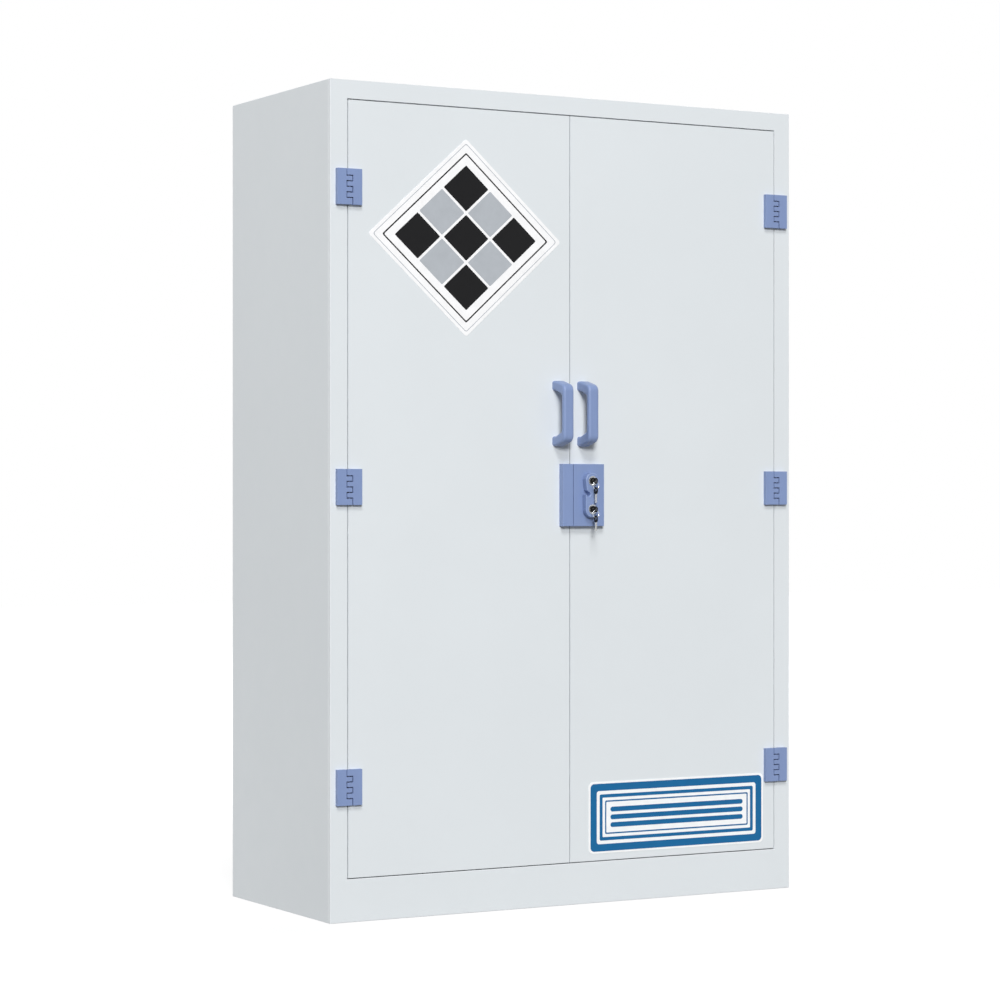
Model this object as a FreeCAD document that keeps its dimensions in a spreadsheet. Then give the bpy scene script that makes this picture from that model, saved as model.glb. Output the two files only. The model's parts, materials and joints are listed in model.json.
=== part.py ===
import FreeCAD, Part

import os
import re

import Sketcher

# A two-door storage cabinet of welded plastic sheet: flush doors on six hinges, two pull handles,
# a double key lock with its keys, and lift-out tray shelves on pegs. All lengths are millimetres.
# The origin is at floor level under the middle of the carcass, X runs to the right, Z up, and the
# doors face -Y. Distances to the front are given as "forward", which is the same as -Y.

# Driving dimensions: alias, value, what it is.
SIZES = [
    ("cabinet_width", 1090, "carcass, over the side panels"),
    ("cabinet_depth", 460, "carcass, door face to back panel"),
    ("cabinet_height", 1650, "carcass, floor to top"),
    ("wall", 8, "side, top and back sheet thickness"),
    ("frame_sheet", 8, "front frame sheet thickness"),
    ("stile_width", 37.75, "front stile, outer edge to door opening"),
    ("top_rail_height", 37, "front top rail"),
    ("bottom_rail_height", 84.5, "front bottom rail"),
    ("jamb_sheet", 8, "sheet round the door opening"),
    ("stop_sheet", 8, "sheet that the doors close against"),
    ("stop_overlap", 20, "stop behind the door's edge"),
    ("edge_round", 1.5, "radius on the carcass's outer edges"),
    ("floor_level", 30, "underside of the sump floor"),
    ("floor_sheet", 8, "sump floor thickness"),
    ("rib_sheet", 8, "floor rib thickness"),
    ("rib_spacing", 350, "floor rib to floor rib"),
    ("door_gap", 2, "gap round and between the doors"),
    ("door_rest_gap", 0.4, "door back to door stop"),
    ("outer_skin", 8, "door outer sheet"),
    ("door_core", 10, "door core strip depth"),
    ("inner_skin", 8, "door inner sheet"),
    ("inner_skin_inset", 1, "edge of the door's inner sheet behind the outer sheet's edge"),
    ("core_strip", 10, "door core strip width"),
    ("skin_round", 0.6, "radius on the door's front edges"),
    ("hinge_width", 54, "both hinge leaves, outer edge to outer edge"),
    ("hinge_height", 70.5, "hinge leaf height"),
    ("hinge_thickness", 9.4, "hinge leaf thickness"),
    ("pin_rise", 6.7, "hinge pin's axis forward of the door face"),
    ("knuckle_face_gap", 0.3, "hinge knuckle to the sheet that it turns over"),
    ("knuckle_clearance", 0.6, "hinge knuckle to the other leaf"),
    ("end_knuckle", 13.5, "height of the first and last knuckle"),
    ("leaf_chamfer", 0.8, "chamfer on the hinge leaf's front edges"),
    ("pin_radius", 1.5, "hinge pin"),
    ("pin_fit", 0.05, "hinge pin to bore, on the radius"),
    ("hinge_top_drop", 173, "top of the door opening down to the middle of the top hinges"),
    ("hinge_bottom_rise", 180.5, "foot of the door opening up to the middle of the bottom hinges"),
    ("hinge_screw_pitch", 44, "screw to screw in a leaf"),
    ("screw_radius", 2.5, "screw shank"),
    ("screw_length", 14.5, "screw shank length"),
    ("screw_head_radius", 4.5, "screw head"),
    ("screw_head_height", 3, "screw head height"),
    ("screw_clearance", 0.25, "screw shank to sheet hole, on the radius"),
    ("screw_slot", 1.2, "screwdriver slot width and depth"),
    ("thread_fit", 0.05, "screw shank to its thread, on the radius"),
    ("blind_margin", 0.3, "blind hole past the screw's end"),
    ("handle_width", 24, "pull handle, across"),
    ("handle_spacing", 59, "pull handle to pull handle"),
    ("handle_rise", 166, "middle of the lock up to the middle of the pull handles"),
    ("handle_reach", 47, "pull handle, door face to front of grip"),
    ("handle_foot_span", 133, "pull handle, height over the feet at the door"),
    ("handle_front_span", 112, "pull handle, height over the grip at the front"),
    ("foot_height", 15.5, "pull handle foot, height at the door"),
    ("arm_height", 16.5, "pull handle arm, height at the grip"),
    ("grip_depth", 11.5, "pull handle grip, front to back"),
    ("handle_outer_corner", 11, "pull handle front corner radius"),
    ("handle_inner_corner", 7, "pull handle inner corner radius"),
    ("handle_edge_round", 4.5, "pull handle long edge radius"),
    ("handle_hole_depth", 10, "screw hole in the pull handle's foot"),
    ("lock_drop", 15.5, "middle of the middle hinges down to the middle of the lock"),
    ("lock_height", 127, "strike block and lock case height"),
    ("lock_thickness", 15, "strike block and lock case thickness"),
    ("lock_seam", 1.2, "gap between strike block and lock case"),
    ("lock_edge_round", 1, "radius on the lock's front edges"),
    ("strike_width", 25, "strike block, from the middle of the door gap"),
    ("case_width", 73, "lock case, from the middle of the door gap"),
    ("cavity_depth", 10.5, "cam space in the lock, from the door face"),
    ("cavity_margin", 10, "cam space past the plug's axis"),
    ("lock_screw_near", 16, "lock screws next to the door gap"),
    ("lock_screw_margin", 8.5, "lock screws from the lock's other edges"),
    ("plug_offset", 36.2, "plug axis from the middle of the door gap"),
    ("plug_pitch", 57.8, "upper plug to lower plug"),
    ("boss_width", 30.4, "raised lock boss, across"),
    ("boss_height", 91, "raised lock boss, height"),
    ("boss_thickness", 15, "raised lock boss, forward of the lock case"),
    ("boss_edge_round", 1.5, "radius on the boss's front edge"),
    ("notch_radius", 4.5, "notch in the boss's side"),
    ("notch_depth", 6, "notch, boss's side to the notch's centre"),
    ("notch_rise", 1.5, "notch above the lock's middle, at its inner end"),
    ("notch_slant", 4, "fall of the notch from the boss's side inwards"),
    ("bezel_radius", 10.2, "key cylinder bezel"),
    ("bezel_thickness", 2, "key cylinder bezel thickness"),
    ("bezel_chamfer", 0.7, "chamfer on the bezel's front edge"),
    ("barrel_radius", 9, "key cylinder barrel"),
    ("barrel_fit", 0.05, "barrel to its hole, on the radius"),
    ("plug_radius", 7, "plug that the key turns"),
    ("plug_fit", 0.05, "plug to barrel, on the radius"),
    ("plug_inset", 0.3, "plug face behind the bezel"),
    ("keyway_width", 2.4, "slot for the key"),
    ("keyway_height", 7.6, "slot for the key"),
    ("keyway_margin", 0.5, "slot past the key's tip"),
    ("tang_width", 6, "square end of the plug"),
    ("cam_thickness", 3, "cam"),
    ("cam_width", 10, "cam"),
    ("cam_reach", 44, "plug axis to cam tip"),
    ("cam_gap", 0.3, "lower cam to the front of the cam space"),
    ("cam_step", 4.2, "upper cam behind the lower cam"),
    ("cam_slot_margin", 2.5, "strike slot past the cam's tip"),
    ("cam_sweep_margin", 1, "strike slot above and below the cam's path"),
    ("blade_thickness", 2, "key blade"),
    ("blade_height", 7, "key blade"),
    ("blade_length", 15, "key blade in the plug"),
    ("blade_cut", 1.8, "depth of the cuts in the key blade"),
    ("key_neck", 2.5, "key blade between bezel and head"),
    ("key_head_length", 14.4, "key head along the key"),
    ("key_head_height", 12.4, "key head across the key"),
    ("key_head_thickness", 2.6, "key head"),
    ("key_head_round", 5, "key head corner radius"),
    ("key_rim_round", 0.7, "radius on the edges of the key head and of its hole"),
    ("key_hole_radius", 3.2, "hole for the ring"),
    ("ring_radius", 7.25, "key ring, centre to wire centre"),
    ("wire_radius", 0.75, "key ring wire"),
    ("ring_slack", 0.3, "key ring wire to the edge that it hangs on"),
    ("strip_thickness", 10, "peg strip"),
    ("strip_width", 30, "peg strip"),
    ("strip_end_margin", 80, "middle of a peg strip from the door face or the back"),
    ("strip_foot_gap", 102, "sump floor to the foot of the peg strips"),
    ("strip_head_gap", 122, "head of the peg strips to the top panel"),
    ("peg_radius", 6, "shelf peg"),
    ("peg_fit", 0.1, "shelf peg to its hole, on the radius"),
    ("peg_reach", 14, "shelf peg beyond the strip"),
    ("peg_hole_first", 40, "foot of a peg strip to its lowest hole"),
    ("peg_hole_margin", 50, "highest hole to the head of a peg strip, at least"),
    ("peg_pitch", 80, "peg hole to peg hole"),
    ("tray_sheet", 6, "tray shelf thickness"),
    ("tray_rim", 50, "tray shelf height over all"),
    ("tray_side_gap", 2, "tray shelf to peg strip"),
    ("tray_front_gap", 6, "tray shelf to door stop"),
    ("tray_back_gap", 8, "tray shelf to back panel"),
    ("tray_round", 2, "radius on the tray's rim"),
    ("label_thickness", 0.6, "labels on the doors"),
    ("diamond_height", 396, "diamond plate, upright, before its tips are rounded"),
    ("diamond_free_margin", 21.2, "door's free edge to the diamond plate's tip, before rounding"),
    ("diamond_hinge_margin", 17.05, "diamond plate's tip, before rounding, to the hinge leaf"),
    ("diamond_drop", 261.3, "top of the door opening down to the middle of the diamond plate"),
    ("diamond_round", 6, "diamond plate corner radius"),
    ("striped_height", 147, "wide label"),
    ("striped_free_margin", 44, "door's free edge to the wide label"),
    ("striped_hinge_margin", 2.25, "wide label to the hinge leaf"),
    ("striped_rise", 90, "foot of the door opening up to the middle of the wide label"),
    ("striped_round", 10, "wide label corner radius"),
]

# Counts.
FLOOR_RIBS = 3
KNUCKLES = 6
COMPARTMENTS = 3

# The key blade's cut edge from shoulder to tip: places in sevenths of the blade, and each place's
# share of the full cut. The other edge slopes down to the tip from TIP_START.
BLADE_PARTS = 7
BITTING = [(2, 0), (2.5, 1), (3.25, 1 / 3), (4.5, 1), (5.25, 1 / 3)]
TIP_START = 6.5

# How near two places count as one, and how far a cut runs past the solid that it opens.
TOUCH = 0.01
OVERRUN = "1"

# Places worked out from the driving dimensions. "forward" values grow towards the front.
PLACES = {
    "half_width": "cabinet_width / 2",
    "face": "cabinet_depth / 2",
    "frame_back": "face - frame_sheet",
    "back_inside": "wall - cabinet_depth / 2",
    "side_inside": "half_width - wall",
    "opening_edge": "half_width - stile_width",
    "opening_top": "cabinet_height - top_rail_height",
    "door_outer": "opening_edge - door_gap",
    "door_inner": "door_gap / 2",
    "door_bottom": "bottom_rail_height + door_gap",
    "door_top": "opening_top - door_gap",
    "skin_back": "face - outer_skin",
    "core_back": "skin_back - door_core",
    "door_back": "core_back - inner_skin",
    "stop_front": "door_back - door_rest_gap",
    "stop_back": "stop_front - stop_sheet",
    "floor_top": "floor_level + floor_sheet",
    "hinge_line": "opening_edge - door_gap / 2",
    "hinge_top_level": "opening_top - hinge_top_drop",
    "hinge_bottom_level": "bottom_rail_height + hinge_bottom_rise",
    "hinge_middle_level": "(hinge_top_level + hinge_bottom_level) / 2",
    "leaf_inner_edge": "hinge_line - hinge_width / 2",
    "pin_forward": "face + pin_rise",
    "pin_cover": "hinge_thickness - pin_rise",
    "knuckle_radius": "pin_rise - knuckle_face_gap",
    "leaf_edge": "knuckle_radius + knuckle_clearance",
    "leaf_screw_line": "(hinge_width / 2 + leaf_edge) / 2",
    "knuckle_pitch": "(hinge_height - 2 * end_knuckle) / %d" % (KNUCKLES - 2),
    "foot_line": "handle_foot_span / 2 - foot_height / 2",
    "lock_level": "hinge_middle_level - lock_drop",
    "handle_level": "lock_level + handle_rise",
    "lock_front": "face + lock_thickness",
    "boss_front": "lock_front + boss_thickness",
    "bezel_front": "boss_front + bezel_thickness",
    "cavity_front": "face + cavity_depth",
    "lock_screw_line": "lock_height / 2 - lock_screw_margin",
    "cam_sweep": "sqrt(cam_reach ^ 2 - (plug_offset + lock_seam / 2) ^ 2)",
    "key_hole_line": "key_head_length - key_head_height / 2",
    "key_shoulder": "bezel_front + key_neck",
    "ring_forward": "key_shoulder + key_hole_line",
    "ring_drop": "key_hole_radius - wire_radius - ring_slack + ring_radius",
    "spare_hole_drop": "ring_drop + ring_radius - wire_radius - ring_slack + key_hole_radius",
    "strip_inset": "cabinet_depth / 2 - strip_end_margin",
    "strip_bottom": "floor_top + strip_foot_gap",
    "strip_top": "cabinet_height - wall - strip_head_gap",
    "strip_face": "side_inside - strip_thickness",
    "tray_half_width": "strip_face - tray_side_gap",
    "diamond_near": "door_inner + diamond_free_margin",
    "diamond_far": "leaf_inner_edge - diamond_hinge_margin",
    "striped_near": "door_inner + striped_free_margin",
    "striped_far": "leaf_inner_edge - striped_hinge_margin",
}

HINGE_LEVELS = {"top": "hinge_top_level", "middle": "hinge_middle_level", "bottom": "hinge_bottom_level"}
SIDES = {"left": -1, "right": 1}

doc = FreeCAD.newDocument("cabinet")
sheet = doc.addObject("Spreadsheet::Sheet", "Sizes")
for row, (alias, value, note) in enumerate(SIZES, start=1):
    sheet.set("A%d" % row, alias)
    sheet.set("B%d" % row, str(value))
    sheet.set("C%d" % row, note)
    sheet.setAlias("B%d" % row, alias)
doc.recompute()

ALIASES = {alias for alias, value, note in SIZES}


def formula(text):
    """An expression on the sheet's cells, from one written in sizes and places."""

    def spelled(match):
        word = match.group(0)
        if word in ALIASES:
            return "Sizes." + word
        if word in PLACES:
            return "(" + formula(PLACES[word]) + ")"
        return word

    return re.sub(r"[A-Za-z_]\w*", spelled, str(text))


def number(text):
    """The value that an expression has now, for a sketch's first drawing."""
    return float(sheet.evalExpression(formula(text)))


def bind(thing, prop, text):
    thing.setExpression(prop, formula(text))


def new_body(label):
    body = doc.addObject("PartDesign::Body", label)
    body.Label = label
    return body


def place(body, x="0", forward="0", level="0"):
    """Set a body down with its origin at the given place."""
    bind(body, "Placement.Base.x", x)
    bind(body, "Placement.Base.y", "-(%s)" % forward)
    bind(body, "Placement.Base.z", level)


def new_sketch(body, role, offset="0"):
    """An empty sketch on one of the body's own origin planes, moved along the plane's normal."""
    plane = [feature for feature in body.Origin.OriginFeatures if feature.Role == role][0]
    sketch = body.newObject("Sketcher::SketchObject", body.Name + "_sketch")
    sketch.AttachmentSupport = [(plane, "")]
    sketch.MapMode = "FlatFace"
    bind(sketch, "AttachmentOffset.Base.z", offset)
    return sketch


def constrain(sketch, kind, target, text):
    """Tie one size of the sketch to an expression."""
    index = sketch.addConstraint(Sketcher.Constraint(kind, *target, number(text)))
    name = "size%d" % index
    sketch.renameConstraint(index, name)
    bind(sketch, "Constraints." + name, text)


def pin_point(sketch, geometry, vertex, point):
    constrain(sketch, "DistanceX", (-1, 1, geometry, vertex), point[0])
    constrain(sketch, "DistanceY", (-1, 1, geometry, vertex), point[1])


def draw_polygon(sketch, points):
    """A closed outline of straight edges."""
    corners = [FreeCAD.Vector(number(x), number(y), 0) for x, y in points]
    first = sketch.GeometryCount
    count = len(points)
    for index in range(count):
        edge = Part.LineSegment(corners[index], corners[(index + 1) % count])
        sketch.addGeometry(edge)
    for index in range(count):
        following = first + (index + 1) % count
        sketch.addConstraint(Sketcher.Constraint("Coincident", first + index, 2, following, 1))
        pin_point(sketch, first + index, 1, points[index])


def draw_rectangle(sketch, left, low, right, high):
    draw_polygon(sketch, [(left, low), (right, low), (right, high), (left, high)])


def draw_circle(sketch, centre, radius):
    point = FreeCAD.Vector(number(centre[0]), number(centre[1]), 0)
    circle = sketch.addGeometry(Part.Circle(point, FreeCAD.Vector(0, 0, 1), number(radius)))
    constrain(sketch, "Radius", (circle,), radius)
    pin_point(sketch, circle, 3, centre)


def draw_slot(sketch, first, second, radius):
    """A round-ended slot between two centres, one straight above or beside the other."""
    ends = [FreeCAD.Vector(number(x), number(y), 0) for x, y in (first, second)]
    along = (ends[1] - ends[0]).normalize()
    across = FreeCAD.Vector(-along.y, along.x, 0) * number(radius)
    far = along * number(radius)
    arcs = []
    for centre, side, tip in ((ends[0], across, -far), (ends[1], -across, far)):
        arc = Part.Arc(centre + side, centre + tip, centre - side)
        arcs.append(sketch.addGeometry(arc))
    left = sketch.addGeometry(Part.LineSegment(ends[0] - across, ends[1] - across))
    right = sketch.addGeometry(Part.LineSegment(ends[1] + across, ends[0] + across))
    joints = ((arcs[0], 2, left, 1), (left, 2, arcs[1], 1), (arcs[1], 2, right, 1), (right, 2, arcs[0], 1))
    for joint in joints:
        sketch.addConstraint(Sketcher.Constraint("Tangent", *joint))
    pin_point(sketch, arcs[0], 3, first)
    pin_point(sketch, arcs[1], 3, second)
    constrain(sketch, "Radius", (arcs[0],), radius)


def pad(body, sketch, length, midplane=False, reverse=False):
    feature = body.newObject("PartDesign::Pad", body.Name + "_pad")
    feature.Profile = sketch
    feature.Midplane = midplane
    feature.Reversed = reverse
    bind(feature, "Length", length)
    doc.recompute()


def pocket(body, sketch, length, midplane=False, reverse=True):
    """Cut along the sketch's normal, and make sure that something was cut."""
    before = body.Shape.Volume
    feature = body.newObject("PartDesign::Pocket", body.Name + "_pocket")
    feature.Profile = sketch
    feature.Midplane = midplane
    feature.Reversed = reverse
    bind(feature, "Length", length)
    doc.recompute()
    if body.Shape.Volume >= before:
        raise ValueError("nothing was cut from " + body.Label)


def dress(body, kind, size, wanted):
    """A fillet or chamfer on the body's edges that the wanted test picks."""
    base = body.Tip
    names = []
    for index, edge in enumerate(base.Shape.Edges, start=1):
        if wanted(edge):
            names.append("Edge%d" % index)
    if not names:
        raise ValueError("no edge of %s takes its %s" % (body.Label, kind))
    feature = body.newObject("PartDesign::" + kind, body.Name + "_" + kind.lower())
    feature.Base = (base, names)
    bind(feature, "Radius" if kind == "Fillet" else "Size", size)
    doc.recompute()


def slab(label, back, front, corners, holes=()):
    """An upright sheet that faces forward, between two opposite corners, with round holes."""
    body = new_body(label)
    sketch = new_sketch(body, "XZ_Plane", back)
    draw_rectangle(sketch, *corners[0], *corners[1])
    for centre, radius in holes:
        draw_circle(sketch, centre, radius)
    pad(body, sketch, "%s - (%s)" % (front, back))
    return body


def bore(body, back, depth, centres, radius):
    """Round holes cut forward from the given depth."""
    sketch = new_sketch(body, "XZ_Plane", back)
    for centre in centres:
        draw_circle(sketch, centre, radius)
    pocket(body, sketch, depth)


def at_front(edge, forward):
    """True for an edge that lies wholly in the plane at the given forward distance."""
    box = edge.BoundBox
    return abs(box.YMin + forward) < TOUCH and abs(box.YMax + forward) < TOUCH


def signed(side, text):
    """A sideways distance from the middle, on the side given by -1 or 1."""
    return "%d * (%s)" % (side, text)


# Carcass panels


def on_outer_edge(edge):
    """True for an edge where two of the carcass's outer faces meet, the underside left out."""
    count = 0
    half = number("half_width")
    face = number("face")
    for limit, low, high in (
        (-half, edge.BoundBox.XMin, edge.BoundBox.XMax),
        (half, edge.BoundBox.XMin, edge.BoundBox.XMax),
        (-face, edge.BoundBox.YMin, edge.BoundBox.YMax),
        (face, edge.BoundBox.YMin, edge.BoundBox.YMax),
        (number("cabinet_height"), edge.BoundBox.ZMin, edge.BoundBox.ZMax),
    ):
        if abs(low - limit) < TOUCH and abs(high - limit) < TOUCH:
            count += 1
    return count >= 2


def carcass_sheet(label, back, front, low, high, holes=()):
    body = slab(label, back, front, (low, high), holes)
    dress(body, "Fillet", "edge_round", on_outer_edge)
    return body


for name, side in SIDES.items():
    inner = signed(side, "side_inside")
    outer = signed(side, "half_width")
    carcass_sheet("side_panel_" + name, "-face", "frame_back", (inner, "0"), (outer, "cabinet_height"))

carcass_sheet("top_panel", "-face", "frame_back", ("-side_inside", "cabinet_height - wall"),
              ("side_inside", "cabinet_height"))
slab("back_panel", "-face", "back_inside",
     (("-side_inside", "0"), ("side_inside", "cabinet_height - wall")))


# Front frame: two stiles with the hinge screws' holes, and two rails between them


def hinge_screw_places(x):
    """Centres of the two screws of each of a side's three hinge leaves."""
    centres = []
    for level in HINGE_LEVELS.values():
        centres.append((x, level + " - hinge_screw_pitch / 2"))
        centres.append((x, level + " + hinge_screw_pitch / 2"))
    return centres


SCREW_HOLE = "screw_radius + screw_clearance"
frame_screws = []
for name, side in SIDES.items():
    inner = signed(side, "opening_edge")
    outer = signed(side, "half_width")
    centres = hinge_screw_places(signed(side, "hinge_line + leaf_screw_line"))
    frame_screws += centres
    carcass_sheet("front_stile_" + name, "frame_back", "face", (inner, "0"), (outer, "cabinet_height"),
                  [(centre, SCREW_HOLE) for centre in centres])

carcass_sheet("top_rail", "frame_back", "face", ("-opening_edge", "opening_top"),
              ("opening_edge", "cabinet_height"))
slab("bottom_rail", "frame_back", "face", (("-opening_edge", "0"), ("opening_edge", "bottom_rail_height")))


# Door jamb behind the front frame's edges, and the stop that the doors close against, whose lower
# side goes down to the sump floor and dams it


def build_ring_of_sheet(label, back, front, outer, inner):
    """A rectangular ring, from its outer and inner pairs of opposite corners."""
    body = new_body(label)
    sketch = new_sketch(body, "XZ_Plane", back)
    draw_rectangle(sketch, *outer[0], *outer[1])
    draw_rectangle(sketch, *inner[0], *inner[1])
    pad(body, sketch, "%s - (%s)" % (front, back))


JAMB_SIDE = "opening_edge + jamb_sheet"
JAMB_HEAD = "opening_top + jamb_sheet"
build_ring_of_sheet("door_jamb", "stop_front", "frame_back",
                    (("-(%s)" % JAMB_SIDE, "bottom_rail_height - jamb_sheet"), (JAMB_SIDE, JAMB_HEAD)),
                    (("-opening_edge", "bottom_rail_height"), ("opening_edge", "opening_top")))
build_ring_of_sheet("door_stop", "stop_back", "stop_front",
                    (("-(%s)" % JAMB_SIDE, "floor_top"), (JAMB_SIDE, JAMB_HEAD)),
                    (("stop_overlap - opening_edge", "bottom_rail_height + stop_overlap"),
                     ("opening_edge - stop_overlap", "opening_top - stop_overlap")))


# Sump floor and the ribs that carry it


slab("sump_floor", "back_inside", "frame_back",
     (("-side_inside", "floor_level"), ("side_inside", "floor_top")))


def build_floor_ribs():
    body = new_body("floor_ribs")
    sketch = new_sketch(body, "XZ_Plane", "back_inside")
    for index in range(FLOOR_RIBS):
        middle = "%g * rib_spacing" % (index - (FLOOR_RIBS - 1) / 2)
        draw_rectangle(sketch, middle + " - rib_sheet / 2", "0", middle + " + rib_sheet / 2", "floor_level")
    pad(body, sketch, "frame_back - (back_inside)")


build_floor_ribs()


# Peg strips, shelf pegs and tray shelves. A strip has as many holes as its length takes, and the
# trays rest at the holes that part the inside into even compartments.

PEG_ROOM = "strip_top - peg_hole_margin - strip_bottom - peg_hole_first"
PEG_HOLES = int(number("(%s) / peg_pitch" % PEG_ROOM)) + 1
LOWER_TRAY_HOLE = PEG_HOLES // COMPARTMENTS
UPPER_TRAY_HOLE = 2 * PEG_HOLES // COMPARTMENTS


def peg_level(hole):
    return "strip_bottom + peg_hole_first + %d * peg_pitch" % hole


def build_peg_strips(name, side):
    body = new_body("peg_strips_" + name)
    sketch = new_sketch(body, "YZ_Plane", signed(side, "strip_face"))
    for middle in ("-strip_inset", "strip_inset"):
        draw_rectangle(sketch, middle + " - strip_width / 2", "strip_bottom",
                       middle + " + strip_width / 2", "strip_top")
        for hole in range(PEG_HOLES):
            draw_circle(sketch, (middle, peg_level(hole)), "peg_radius + peg_fit")
    pad(body, sketch, "strip_thickness", reverse=side < 0)


def build_pegs():
    body = new_body("shelf_pegs")
    for side in SIDES.values():
        sketch = new_sketch(body, "YZ_Plane", signed(side, "side_inside"))
        for middle in ("-strip_inset", "strip_inset"):
            for hole in (LOWER_TRAY_HOLE, UPPER_TRAY_HOLE):
                draw_circle(sketch, (middle, peg_level(hole)), "peg_radius")
        pad(body, sketch, "strip_thickness + peg_reach", reverse=side > 0)


def build_tray(label, hole):
    """A welded tray that rests on its four pegs."""
    body = new_body(label)
    place(body, level=peg_level(hole) + " + peg_radius")
    outside = new_sketch(body, "XY_Plane")
    back = "cabinet_depth / 2 - wall - tray_back_gap"
    front = "tray_front_gap - stop_back"
    draw_rectangle(outside, "-tray_half_width", front, "tray_half_width", back)
    pad(body, outside, "tray_rim")
    inside = new_sketch(body, "XY_Plane", "tray_sheet")
    draw_rectangle(inside, "tray_sheet - tray_half_width", front + " + tray_sheet",
                   "tray_half_width - tray_sheet", back + " - tray_sheet")
    pocket(body, inside, "tray_rim")
    rim = number("tray_rim")
    dress(body, "Fillet", "tray_round", lambda edge: edge.BoundBox.ZMin > rim - TOUCH)


for name, side in SIDES.items():
    build_peg_strips(name, side)
build_pegs()
build_tray("upper_tray", UPPER_TRAY_HOLE)
build_tray("lower_tray", LOWER_TRAY_HOLE)


# Hinges: each leaf is a plate that ends in a rounded knuckle, with the other leaf's knuckles cut
# away. The bottom knuckle belongs to the leaf on the left, on both sides of the cabinet.


def knuckle_level(index):
    """Height of the lower end of a knuckle above the leaf's foot, counted from the bottom."""
    if index == 0:
        return "0"
    if index == KNUCKLES:
        return "hinge_height"
    return "end_knuckle + %d * knuckle_pitch" % (index - 1)


def draw_leaf(sketch, hand):
    """Cross-section of a leaf on the given side of the hinge pin, seen from above.

    The plate's back lies on the sheet as far as the pin. Past the pin the knuckle is round about it
    and keeps off the sheet, so that it can turn, and its front is flush with the plate.
    """
    radius = number("knuckle_radius")
    cover = number("pin_cover")
    rise = number("pin_rise")
    wide = number("hinge_width / 2")
    flat = (radius ** 2 - cover ** 2) ** 0.5

    def at(x, y):
        return FreeCAD.Vector(hand * x, y, 0)

    side = sketch.addGeometry(Part.LineSegment(at(wide, -cover), at(wide, rise)))
    back = sketch.addGeometry(Part.LineSegment(at(wide, rise), at(0, rise)))
    step = sketch.addGeometry(Part.LineSegment(at(0, rise), at(0, radius)))
    nose = sketch.addGeometry(Part.Arc(at(0, radius), at(-radius, 0), at(-flat, -cover)))
    front = sketch.addGeometry(Part.LineSegment(at(-flat, -cover), at(wide, -cover)))
    # An arc runs anticlockwise, so its first point is at the pin's back on a leaf to the right.
    nose_back, nose_front = (1, 2) if hand > 0 else (2, 1)
    for joint in ((side, 2, back, 1), (back, 2, step, 1), (step, 2, nose, nose_back),
                  (nose, nose_front, front, 1), (front, 2, side, 1)):
        sketch.addConstraint(Sketcher.Constraint("Coincident", *joint))
    sketch.addConstraint(Sketcher.Constraint("Coincident", nose, 3, -1, 1))
    sketch.addConstraint(Sketcher.Constraint("Horizontal", front))
    sketch.addConstraint(Sketcher.Constraint("Vertical", step))
    pin_point(sketch, side, 1, (signed(hand, "hinge_width / 2"), "-pin_cover"))
    pin_point(sketch, side, 2, (signed(hand, "hinge_width / 2"), "pin_rise"))
    pin_point(sketch, back, 2, ("0", "pin_rise"))
    constrain(sketch, "Radius", (nose,), "knuckle_radius")


def build_leaf(label, hand, x, level):
    """A hinge leaf whose own origin is on the pin's axis, at the leaf's foot."""
    body = new_body(label)
    place(body, x, "pin_forward", level + " - hinge_height / 2")
    section = new_sketch(body, "XY_Plane")
    draw_leaf(section, hand)
    pad(body, section, "hinge_height")
    gaps = new_sketch(body, "XZ_Plane")
    first = 1 if hand < 0 else 0
    far = "knuckle_radius + " + OVERRUN
    for index in range(first, KNUCKLES, 2):
        below = "knuckle_clearance / 2" if index > 0 else OVERRUN
        above = "knuckle_clearance / 2" if index + 1 < KNUCKLES else OVERRUN
        low = "%s - %s" % (knuckle_level(index), below)
        high = "%s + %s" % (knuckle_level(index + 1), above)
        draw_rectangle(gaps, signed(hand, "leaf_edge"), low, signed(-hand, far), high)
    pocket(body, gaps, "2 * pin_rise + " + OVERRUN, midplane=True)
    eye = new_sketch(body, "XY_Plane")
    draw_circle(eye, ("0", "0"), "pin_radius + pin_fit")
    pocket(body, eye, "hinge_height")
    holes = new_sketch(body, "XZ_Plane", "-pin_rise")
    for shift in ("-hinge_screw_pitch / 2", "hinge_screw_pitch / 2"):
        draw_circle(holes, (signed(hand, "leaf_screw_line"), "hinge_height / 2 + " + shift),
                    "screw_radius + thread_fit")
    pocket(body, holes, "screw_length - frame_sheet + blind_margin")
    cover = number("pin_cover")
    wide = number("hinge_width / 2")
    tall = number("hinge_height")

    def on_plate_rim(edge):
        box = edge.BoundBox
        reaches_side = max(abs(box.XMin), abs(box.XMax)) > wide - TOUCH
        on_side = min(abs(box.XMin), abs(box.XMax)) > wide - TOUCH
        on_end = box.ZMax < TOUCH or box.ZMin > tall - TOUCH
        return at_front(edge, cover) and reaches_side and (on_side or on_end)

    dress(body, "Chamfer", "leaf_chamfer", on_plate_rim)


def build_hinge_pins(name, side):
    body = new_body("hinge_pins_" + name)
    place(body, signed(side, "hinge_line"), "pin_forward")
    for level in HINGE_LEVELS.values():
        sketch = new_sketch(body, "XY_Plane", level)
        draw_circle(sketch, ("0", "0"), "pin_radius")
        pad(body, sketch, "hinge_height", midplane=True)


for name, side in SIDES.items():
    line = signed(side, "hinge_line")
    for place_name, level in HINGE_LEVELS.items():
        build_leaf("frame_hinge_%s_%s" % (name, place_name), side, line, level)
        build_leaf("door_hinge_%s_%s" % (name, place_name), -side, line, level)
    build_hinge_pins(name, side)


# Screws: all alike, driven forward from behind a sheet into a fitting on its front


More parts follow.
